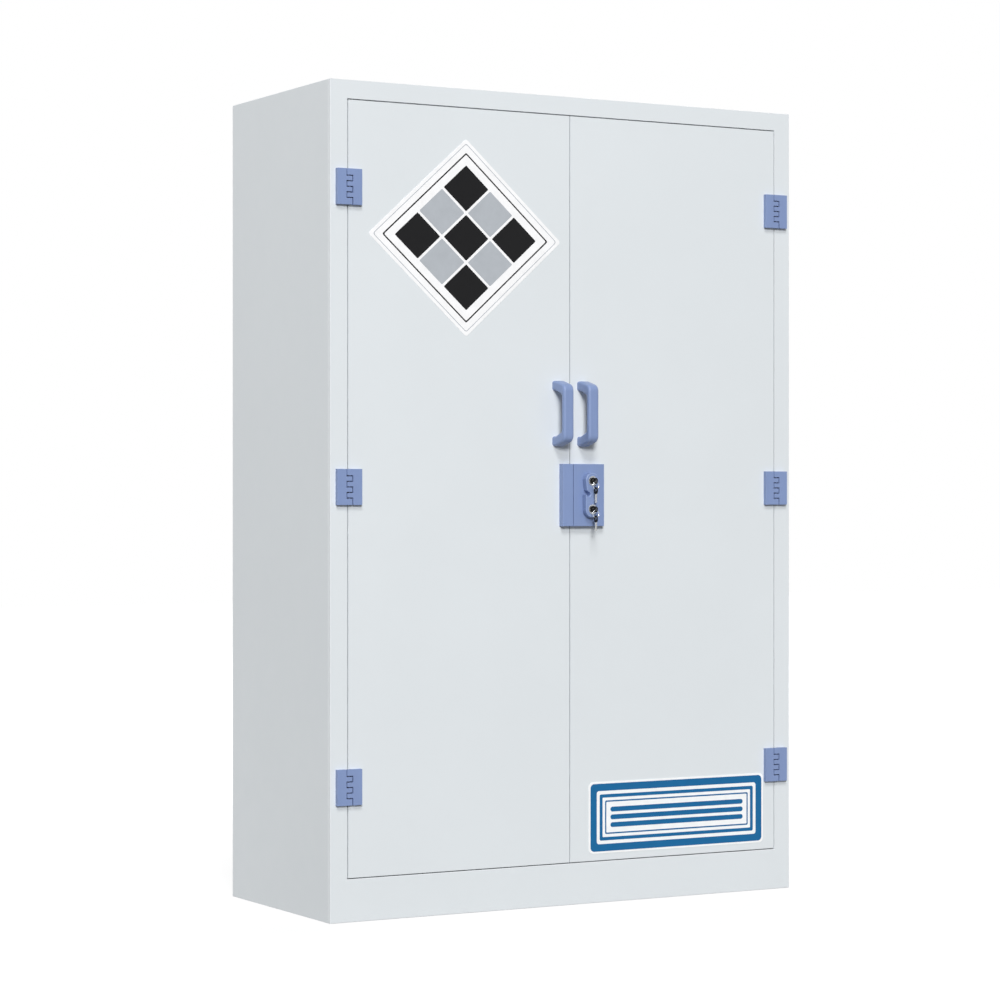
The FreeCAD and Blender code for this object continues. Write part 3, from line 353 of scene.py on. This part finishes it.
def add_boss():
    low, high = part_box("lock_boss")
    x, z = (low.x + high.x) / 2, (low.z + high.z) / 2
    half_width, straight = (high.x - low.x) / 2, (high.z - low.z) / 2 - (high.x - low.x) / 2
    outline = []
    for sign, start in ((1, 0), (-1, 180)):
        for step in range(25):
            angle = math.radians(start + 180 * step / 24)
            outline.append((x + half_width * math.cos(angle), z + sign * straight + half_width * math.sin(angle)))
        if sign > 0:
            inner = Vector((x - half_width + NOTCH_DEPTH, z + NOTCH_INNER))
            outer = Vector((x - half_width, z + NOTCH_OUTER))
            along = (inner - outer).normalized()
            across = Vector((-along.y, along.x)) * NOTCH_RADIUS
            for edge in (outer + across, inner + across):
                outline.append((max(edge.x, x - half_width), edge.y))
            for step in range(1, 12):
                turn = math.pi * step / 12
                point = inner + across * math.cos(turn) + along * (NOTCH_RADIUS * math.sin(turn))
                outline.append((point.x, point.y))
            for edge in (inner - across, outer - across):
                outline.append((max(edge.x, x - half_width), edge.y))
    shape = bmesh.new()
    prism(shape, outline, -high.y, -low.y)
    add_piece("lock_boss_rounded", shape, [MATERIALS["blue_plastic"], BLUE_EDGE_PAINTED_HIGHLIGHT], "right_door",
              ["lock_boss"], BOSS_ROUND, 4)


add_boss()


# Hinge leaves: a plate with three fingers round the pin, their edges eased

LEAF_WIDTH, LEAF_THICKNESS = 26.95 * MM, 9.4 * MM
PIN_RISE, FINGER_RADIUS, LEAF_EDGE = 6.7 * MM, 5.8 * MM, 7.35 * MM
FINGERS, END_FINGER, FINGER_GAP = 6, 13.5 * MM, 2.1 * MM
FINGER_ARC = 10
SEAT_WIDTH, SEAT_END, SEAT_THICKNESS = 8.5 * MM, 1.2 * MM, 0.45 * MM


def add_leaf(node, line, way, first_finger):
    """way points across the pin, from the leaf's plate to the other leaf; a thin seat backs the fingers."""
    low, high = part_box(node)
    pitch = (high.z - low.z - 2 * END_FINGER) / (FINGERS - 2)
    seams = [low.z + END_FINGER + pitch * index for index in range(FINGERS - 1)]
    seams = [low.z] + seams + [high.z]
    levels, fingers = [low.z], []
    for index in range(FINGERS):
        from_top = FINGERS - 1 - index
        own = from_top % 2 == first_finger
        start, end = seams[index], seams[index + 1]
        if own:
            start += FINGER_GAP / 2 if index > 0 else 0
            end -= FINGER_GAP / 2 if index < FINGERS - 1 else 0
            if start > levels[-1]:
                levels.append(start)
                fingers.append(False)
            levels.append(end)
            fingers.append(True)
    if levels[-1] < high.z:
        levels.append(high.z)
        fingers.append(False)

    base_angle = math.asin((LEAF_THICKNESS - PIN_RISE) / FINGER_RADIUS)
    plate = [(-LEAF_WIDTH, 0), (-LEAF_EDGE, 0), (-LEAF_EDGE, PIN_RISE - FINGER_RADIUS),
             (-LEAF_EDGE, LEAF_THICKNESS), (-LEAF_WIDTH, LEAF_THICKNESS)]
    arc = []
    for step in range(FINGER_ARC + 1):
        angle = -math.pi / 2 + (math.pi / 2 + base_angle) * step / FINGER_ARC
        arc.append((FINGER_RADIUS * math.cos(angle), PIN_RISE + FINGER_RADIUS * math.sin(angle)))
    face = -high.y
    shape = bmesh.new()

    def row(points, level):
        return [shape.verts.new((line + way * across, -(face + forward), level))
                for across, forward in points]

    plates = [row(plate, level) for level in levels]
    arcs = []
    for index, level in enumerate(levels):
        beside = fingers[max(0, index - 1)] or fingers[min(index, len(fingers) - 1)]
        arcs.append(row(arc, level) if beside else None)

    def wall(first, second, lower, upper):
        shape.faces.new((lower[first], lower[second], upper[second], upper[first]))

    for index, finger in enumerate(fingers):
        lower, upper = plates[index], plates[index + 1]
        for first, second in ((0, 1), (1, 2), (3, 4), (4, 0)):
            wall(first, second, lower, upper)
        if not finger:
            wall(2, 3, lower, upper)
            continue
        under = [lower[2]] + arcs[index] + [lower[3]]
        over = [upper[2]] + arcs[index + 1] + [upper[3]]
        for step in range(len(under) - 1):
            wall(step, step + 1, under, over)
        shape.faces.new(under)
        shape.faces.new(list(reversed(over)))
    shape.faces.new(plates[0])
    shape.faces.new(list(reversed(plates[-1])))
    loose = [vert for vert in shape.verts if not vert.link_faces]
    bmesh.ops.delete(shape, geom=loose, context="VERTS")
    seat = [(-SEAT_WIDTH, 0), (-SEAT_END, 0), (-SEAT_END, SEAT_THICKNESS), (-SEAT_WIDTH, SEAT_THICKNESS)]
    under, over = row(seat, low.z + MM), row(seat, high.z - MM)
    for first, second in ((0, 1), (1, 2), (2, 3), (3, 0)):
        wall(first, second, under, over)
    shape.faces.new(under)
    shape.faces.new(list(reversed(over)))
    bmesh.ops.recalc_face_normals(shape, faces=shape.faces)
    add_piece(node + "_eased", shape, [MATERIALS["blue_plastic"], BLUE_EDGE_PAINTED_HIGHLIGHT], BODY_OF[node],
              [node], 0.4 * MM, 2)


for place in ("top", "middle", "bottom"):
    for side, left_leaf, right_leaf in (("left", "frame", "door"), ("right", "door", "frame")):
        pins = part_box("hinge_pins_" + side)
        line = (pins[0].x + pins[1].x) / 2
        add_leaf("%s_hinge_%s_%s" % (left_leaf, side, place), line, 1, 1)
        add_leaf("%s_hinge_%s_%s" % (right_leaf, side, place), line, -1, 0)

# Pull handles: a thick bow, its long edges well rounded and its base let into the door's face

HANDLE_BASE = 5 * MM
HANDLE_ROUND = 4.8 * MM


def add_handle(side):
    node = side + "_door_handle"
    low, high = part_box(node)
    level, face = (low.z + high.z) / 2, -high.y
    foot, front = (high.z - low.z) / 2, 56.5 * MM
    reach = high.y - low.y
    inner_foot, inner_front, grip = 46.5 * MM, 37.5 * MM, 12.0 * MM
    bow = [(-HANDLE_BASE, foot, 0), (10 * MM, foot, 9 * MM), (reach, front, 16 * MM),
           (reach, -front, 16 * MM), (10 * MM, -foot, 9 * MM), (-HANDLE_BASE, -foot, 0),
           (-HANDLE_BASE, -inner_foot, 0), (9 * MM, -inner_foot, 9 * MM),
           (reach - grip, -inner_front, 8 * MM), (reach - grip, inner_front, 8 * MM),
           (9 * MM, inner_foot, 9 * MM), (-HANDLE_BASE, inner_foot, 0)]
    outline = []
    for index, (forward, up, radius) in enumerate(bow):
        corner = Vector((forward, up))
        if not radius:
            outline.append((corner.x, corner.y))
            continue
        before = (Vector(bow[index - 1][:2]) - corner).normalized()
        after = (Vector(bow[(index + 1) % len(bow)][:2]) - corner).normalized()
        reach_back = radius / math.tan(before.angle(after) / 2)
        start, end = corner + before * reach_back, corner + after * reach_back
        for step in range(9):
            share = step / 8
            point = start.lerp(corner, share).lerp(corner.lerp(end, share), share)
            outline.append((point.x, point.y))
    shape = bmesh.new()
    prism(shape, outline, low.x, high.x,
          lambda forward, up, across: Vector((across, -(face + forward), level + up)))
    add_piece(node + "_bow", shape, [MATERIALS["blue_plastic"]], BODY_OF[node],
              [node], HANDLE_ROUND, 6, 50)


for side in ("left", "right"):
    add_handle(side)


# Weld beads: a fillet of filler rod in the inside corners, with the ripples of the welder's feed

BEAD = 3.2 * MM
RIPPLE = 6.0 * MM
STATIONS = 4
ARC = 4


def add_bead(name, start, end, first, second, size=BEAD):
    start, end = Vector(start), Vector(end)
    first, second = Vector(first) * size, Vector(second) * size
    along = end - start
    count = max(2, round(along.length / RIPPLE) * STATIONS)
    shape = bmesh.new()
    previous = None
    for step in range(count + 1):
        phase = (step % STATIONS) / STATIONS
        swell = 0.9 + 0.1 * math.sin(math.pi * phase)
        place = start + along * (step / count)
        section = [shape.verts.new(place)]
        for index in range(ARC + 1):
            angle = math.pi / 2 * index / ARC
            reach = swell * (1 - 0.16 * math.sin(2 * angle))
            section.append(shape.verts.new(place + (first * math.cos(angle) + second * math.sin(angle)) * reach))
        if previous:
            for index in range(len(section)):
                after = (index + 1) % len(section)
                shape.faces.new((previous[index], previous[after], section[after], section[index]))
        else:
            shape.faces.new(list(reversed(section)))
        previous = section
    shape.faces.new(previous)
    bmesh.ops.recalc_face_normals(shape, faces=shape.faces)
    add_piece(name, shape, [WELD], "cabinet")


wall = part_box("side_panel_right")[0].x
back_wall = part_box("back_panel")[0].y
stop_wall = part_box("door_stop")[1].y
floor_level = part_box("sump_floor")[1].z
roof_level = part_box("top_panel")[0].z
stop_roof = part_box("door_stop")[1].z
for side, way in (("left", -1), ("right", 1)):
    inward = (-way, 0, 0)
    add_bead("weld_back_" + side, (way * wall, back_wall, floor_level),
             (way * wall, back_wall, roof_level), inward, (0, -1, 0))
    add_bead("weld_floor_" + side, (way * wall, stop_wall, floor_level),
             (way * wall, back_wall, floor_level), inward, (0, 0, 1))
    add_bead("weld_roof_" + side, (way * wall, stop_wall, roof_level),
             (way * wall, back_wall, roof_level), inward, (0, 0, -1))
    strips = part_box("peg_strips_" + side)
    width = 30 * MM
    for place, edges in (("front", (strips[0].y, strips[0].y + width)),
                         ("back", (strips[1].y - width, strips[1].y))):
        for edge, direction in zip(edges, (-1, 1)):
            label = "weld_strip_%s_%s_%s" % (side, place, "near" if direction < 0 else "far")
            add_bead(label, (way * wall, edge, strips[0].z), (way * wall, edge, strips[1].z),
                     inward, (0, direction, 0), 2.2 * MM)
add_bead("weld_floor_back", (-wall, back_wall, floor_level), (wall, back_wall, floor_level),
         (0, -1, 0), (0, 0, 1))
add_bead("weld_roof_back", (-wall, back_wall, roof_level), (wall, back_wall, roof_level),
         (0, -1, 0), (0, 0, -1))


# Plates on the doors: thin printed films over the blank vinyl

FILM = 0.05 * MM


def add_film(name, body, ink, face, outer, inner=None):
    shape = bmesh.new()
    if inner:
        ring_prism(shape, outer, inner, face, face + FILM)
    else:
        prism(shape, outer, face, face + FILM)
    add_piece(name, shape, [ink], body)


def add_films():
    low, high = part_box("diamond_plate")
    x, z, face = (low.x + high.x) / 2, (low.z + high.z) / 2, -low.y
    half_width, half_height = 219.96 * MM, 198.0 * MM
    rounding = 6.0 * MM

    def loop(share, radius):
        return rounded_outline(lozenge(x, z, half_width * share, half_height * share), radius)

    add_film("diamond_outline", "left_door", INK_GREY, face,
             loop(0.955, rounding * 0.8), loop(0.945, rounding * 0.75))
    add_film("diamond_inner_outline", "left_door", INK_BLACK, face,
             loop(0.86, rounding * 0.5), loop(0.84, rounding * 0.45))
    tile_width, tile_height = half_width * 0.75 / 3, half_height * 0.75 / 3
    for row in (-1, 0, 1):
        for column in (-1, 0, 1):
            dark = (row + column) % 2 == 0
            shape = lozenge(x + (row - column) * tile_width, z + (row + column) * tile_height,
                            tile_width * 0.93, tile_height * 0.93)
            add_film("diamond_tile_%d_%d" % (row + 2, column + 2), "left_door",
                     INK_BLACK if dark else INK_GREY, face, rounded_outline(shape, 2.0 * MM))

    low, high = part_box("striped_label")
    face = -low.y

    def band(inset, radius):
        corners = rectangle(low.x + inset, low.z + inset, high.x - inset, high.z - inset)
        return rounded_outline(corners, radius)

    for name, start, end in (("outer", 4, 19), ("middle", 26, 33), ("inner", 39, 42)):
        add_film("striped_band_" + name, "right_door", INK_BLUE, face,
                 band(start * MM, max(3, 10 - start / 4) * MM), band(end * MM, max(2, 10 - end / 4) * MM))
    middle = (low.z + high.z) / 2
    for index, rise in enumerate((-16, 0, 16)):
        corners = rectangle(low.x + 52 * MM, middle + (rise - 5) * MM,
                            high.x - 52 * MM, middle + (rise + 5) * MM)
        add_film("striped_bar_%d" % (index + 1), "right_door", INK_BLUE, face,
                 rounded_outline(corners, 4.9 * MM))


add_films()


# Keys: a black oval head on a milled blade

HEAD_LENGTH, HEAD_HEIGHT, HEAD_THICKNESS = 14.4 * MM, 12.4 * MM, 2.6 * MM
HOLE_LINE, HOLE_RADIUS = 8.2 * MM, 3.2 * MM
BLADE_LENGTH, BLADE_HEIGHT, BLADE_THICKNESS = 17.5 * MM, 7.0 * MM, 1.9 * MM
BITTING = ((0.0, 0.0), (1.6, 0.0), (2.4, 0.25), (3.6, 0.28), (4.4, 0.0), (5.6, 0.0), (6.6, 0.2),
           (7.6, 0.22), (8.6, 0.05), (9.8, 0.06), (11.0, 0.27), (12.2, 0.27), (13.4, 0.05),
           (15.2, 0.05), (17.5, 0.42))


def key_lift(x, forward, level, hanging):
    """Places a point given along the key, across it and through it."""

    def lift(along, across, through):
        if hanging:
            return Vector((x + through, -(forward + across), level + along))
        return Vector((x + through, -(forward + along), level + across))

    return lift


def add_key(node, shoulder, level, hanging):
    low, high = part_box(node)
    x = (low.x + high.x) / 2
    lift = key_lift(x, shoulder, level, hanging)
    head = bmesh.new()
    outer, inner = [], []
    for step in range(64):
        angle = 2 * math.pi * step / 64
        cosine, sine = math.cos(angle), math.sin(angle)
        power = 0.82
        outer.append((HEAD_LENGTH / 2 + math.copysign(abs(cosine) ** power, cosine) * HEAD_LENGTH / 2,
                      math.copysign(abs(sine) ** power, sine) * HEAD_HEIGHT / 2))
        inner.append((HOLE_LINE + HOLE_RADIUS * cosine, HOLE_RADIUS * sine))
    ring_prism(head, outer, inner, -HEAD_THICKNESS / 2, HEAD_THICKNESS / 2, lift)
    add_piece(node + "_head", head, [KEY_BLACK], BODY_OF[node], [node], 0.7 * MM)

    blade = bmesh.new()
    half, groove = BLADE_THICKNESS / 2, 0.45 * MM
    previous = None
    for along, cut in ((-1.5, 0.0),) + BITTING:
        low_edge, high_edge = -BLADE_HEIGHT / 2, BLADE_HEIGHT / 2 - cut * BLADE_HEIGHT
        if along == 17.5:
            low_edge += 0.18 * BLADE_HEIGHT
        section = [(low_edge, -half), (low_edge, half), (-1.6 * MM, half), (-1.3 * MM, half - groove),
                   (-0.3 * MM, half - groove), (0.0, half), (high_edge, half), (high_edge, -half),
                   (0.8 * MM, -half), (0.5 * MM, groove - half), (-0.4 * MM, groove - half),
                   (-0.7 * MM, -half)]
        points = [blade.verts.new(lift(-along * MM, across, through)) for across, through in section]
        if previous:
            for index in range(len(points)):
                after = (index + 1) % len(points)
                blade.faces.new((previous[index], previous[after], points[after], points[index]))
        else:
            blade.faces.new(points)
        previous = points
    blade.faces.new(list(reversed(previous)))
    bmesh.ops.recalc_face_normals(blade, faces=blade.faces)
    add_piece(node + "_blade", blade, [MATERIALS["key_metal"]], BODY_OF[node], [node],
              smooth=25)


# Key rings: split rings of two turns

RING_RADIUS, RING_WIRE = 7.25 * MM, 0.36 * MM
RING_STEPS, RING_SIDES = 168, 10


def add_ring(node):
    low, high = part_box(node)
    middle = (low + high) / 2
    shape = bmesh.new()
    sections = []
    for step in range(RING_STEPS + 1):
        turns = 1.97 * step / RING_STEPS
        angle = 2 * math.pi * turns + math.pi * 0.8
        blend = min(1.0, max(0.0, (turns - 0.92) / 0.12))
        offset = (blend * blend * (3 - 2 * blend) * 2 - 1) * RING_WIRE * 1.02
        outward = Vector((math.cos(angle), 0, math.sin(angle)))
        centre = middle + outward * RING_RADIUS + Vector((0, offset, 0))
        section = []
        for side in range(RING_SIDES):
            turn = 2 * math.pi * side / RING_SIDES
            section.append(shape.verts.new(centre + outward * math.cos(turn) * RING_WIRE * 1.25
                                           + Vector((0, math.sin(turn) * RING_WIRE, 0))))
        sections.append(section)
    for previous, section in zip(sections, sections[1:]):
        for side in range(RING_SIDES):
            after = (side + 1) % RING_SIDES
            shape.faces.new((previous[side], previous[after], section[after], section[side]))
    shape.faces.new(sections[0])
    shape.faces.new(list(reversed(sections[-1])))
    bmesh.ops.recalc_face_normals(shape, faces=shape.faces)
    add_piece(node + "_split", shape, [MATERIALS["ring_steel"]], BODY_OF[node], [node])


for place in ("upper", "lower"):
    plug_low, plug_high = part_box(place + "_plug")
    level = (plug_low.z + plug_high.z) / 2
    key_low, key_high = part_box(place + "_key")
    add_key(place + "_key", -key_low.y - HEAD_LENGTH, level, False)
    spare_low, spare_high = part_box(place + "_spare_key")
    add_key(place + "_spare_key", -(spare_low.y + spare_high.y) / 2, spare_high.z - HEAD_LENGTH, True)
    add_ring(place + "_key_ring")


# Stage, light and camera


def add_stage():
    shape = bmesh.new()
    bmesh.ops.create_grid(shape, x_segments=24, y_segments=24, size=16.0)
    mesh = bpy.data.meshes.new("floor")
    shape.to_mesh(mesh)
    shape.free()
    floor = bpy.data.objects.new("floor", mesh)
    floor.location = (0, 0, -0.0005)
    bpy.context.scene.collection.objects.link(floor)

    material = bpy.data.materials.new("floor_white")
    material.use_nodes = True
    tree = material.node_tree
    shader = tree.nodes["Principled BSDF"]
    shader.inputs["Base Color"].default_value = (0.20, 0.20, 0.20, 1)
    shader.inputs["Roughness"].default_value = 0.9
    shader.inputs["Specular IOR Level"].default_value = 0.0
    paths = tree.nodes.new("ShaderNodeLightPath")
    seen = tree.nodes.new("ShaderNodeMath")
    seen.operation = "MAXIMUM"
    tree.links.new(paths.outputs["Is Camera Ray"], seen.inputs[0])
    tree.links.new(paths.outputs["Is Glossy Ray"], seen.inputs[1])
    glow = tree.nodes.new("ShaderNodeEmission")
    glow.inputs["Color"].default_value = (1, 1, 1, 1)
    place = tree.nodes.new("ShaderNodeTexCoord")
    away = tree.nodes.new("ShaderNodeVectorMath")
    away.operation = "LENGTH"
    tree.links.new(place.outputs["Object"], away.inputs[0])
    lift = tree.nodes.new("ShaderNodeMapRange")
    lift.inputs["From Min"].default_value = 0.7
    lift.inputs["From Max"].default_value = 2.2
    lift.inputs["To Min"].default_value = FLOOR_LIFT
    lift.inputs["To Max"].default_value = 1.0
    tree.links.new(away.outputs["Value"], lift.inputs["Value"])
    share = tree.nodes.new("ShaderNodeMath")
    share.operation = "MULTIPLY"
    tree.links.new(lift.outputs["Result"], share.inputs[0])
    tree.links.new(seen.outputs["Value"], share.inputs[1])
    tree.links.new(share.outputs["Value"], glow.inputs["Strength"])
    both = tree.nodes.new("ShaderNodeAddShader")
    tree.links.new(shader.outputs["BSDF"], both.inputs[0])
    tree.links.new(glow.outputs["Emission"], both.inputs[1])
    tree.links.new(both.outputs["Shader"], tree.nodes["Material Output"].inputs["Surface"])
    mesh.materials.append(material)


def add_world():
    world = bpy.data.worlds.new("studio")
    world.use_nodes = True
    bpy.context.scene.world = world
    tree = world.node_tree
    soft = tree.nodes["Background"]
    soft.inputs["Color"].default_value = (0.96, 0.98, 1.0, 1)
    soft.inputs["Strength"].default_value = WORLD_LIGHT
    white = tree.nodes.new("ShaderNodeBackground")
    white.inputs["Color"].default_value = (1, 1, 1, 1)
    white.inputs["Strength"].default_value = 1.0
    paths = tree.nodes.new("ShaderNodeLightPath")
    seen = paths.outputs["Is Camera Ray"]
    for extra in ("Is Glossy Ray", "Is Transmission Ray"):
        either = tree.nodes.new("ShaderNodeMath")
        either.operation = "MAXIMUM"
        tree.links.new(seen, either.inputs[0])
        tree.links.new(paths.outputs[extra], either.inputs[1])
        seen = either.outputs["Value"]
    mix = tree.nodes.new("ShaderNodeMixShader")
    tree.links.new(seen, mix.inputs["Fac"])
    tree.links.new(soft.outputs["Background"], mix.inputs[1])
    tree.links.new(white.outputs["Background"], mix.inputs[2])
    tree.links.new(mix.outputs["Shader"], tree.nodes["World Output"].inputs["Surface"])


def add_lamp(name, azimuth, elevation, distance, size, power, target=Vector((0, -0.1, 0.85))):
    """A square soft box: azimuth is counted from straight in front, leftwards below zero."""
    data = bpy.data.lights.new(name, "AREA")
    data.shape = "SQUARE"
    data.size = size
    data.energy = power
    lamp = bpy.data.objects.new(name, data)
    turn, rise = math.radians(azimuth), math.radians(elevation)
    away = Vector((math.sin(turn) * math.cos(rise), -math.cos(turn) * math.cos(rise), math.sin(rise)))
    lamp.location = target + away * distance
    lamp.rotation_euler = (-away).to_track_quat("-Z", "Y").to_euler()
    bpy.context.scene.collection.objects.link(lamp)


FLOOR_LIFT = 0.83
WORLD_LIGHT = 0.12
add_stage()
add_world()
add_lamp("key_light", -24, 20, 36.0, 7.0, 8570)
add_lamp("high_light", -24, 45, 48.0, 12.0, 9860)
add_lamp("left_fill", -120, 14, 12.0, 5.0, 370)
add_lamp("rear_fill", 140, 20, 9.0, 4.0, 410)

camera_data = bpy.data.cameras.new("camera")
camera_data.sensor_width = 36.0
camera_data.sensor_fit = "HORIZONTAL"
camera_data.lens = 105.35
camera = bpy.data.objects.new("camera", camera_data)
camera.location = (-3.071, -5.359, 0.827)
camera.rotation_euler = Vector((0.4931, 0.8700, 0.0)).to_track_quat("-Z", "Y").to_euler()
bpy.context.scene.collection.objects.link(camera)
bpy.context.scene.camera = camera
bpy.context.scene.view_settings.view_transform = "Standard"
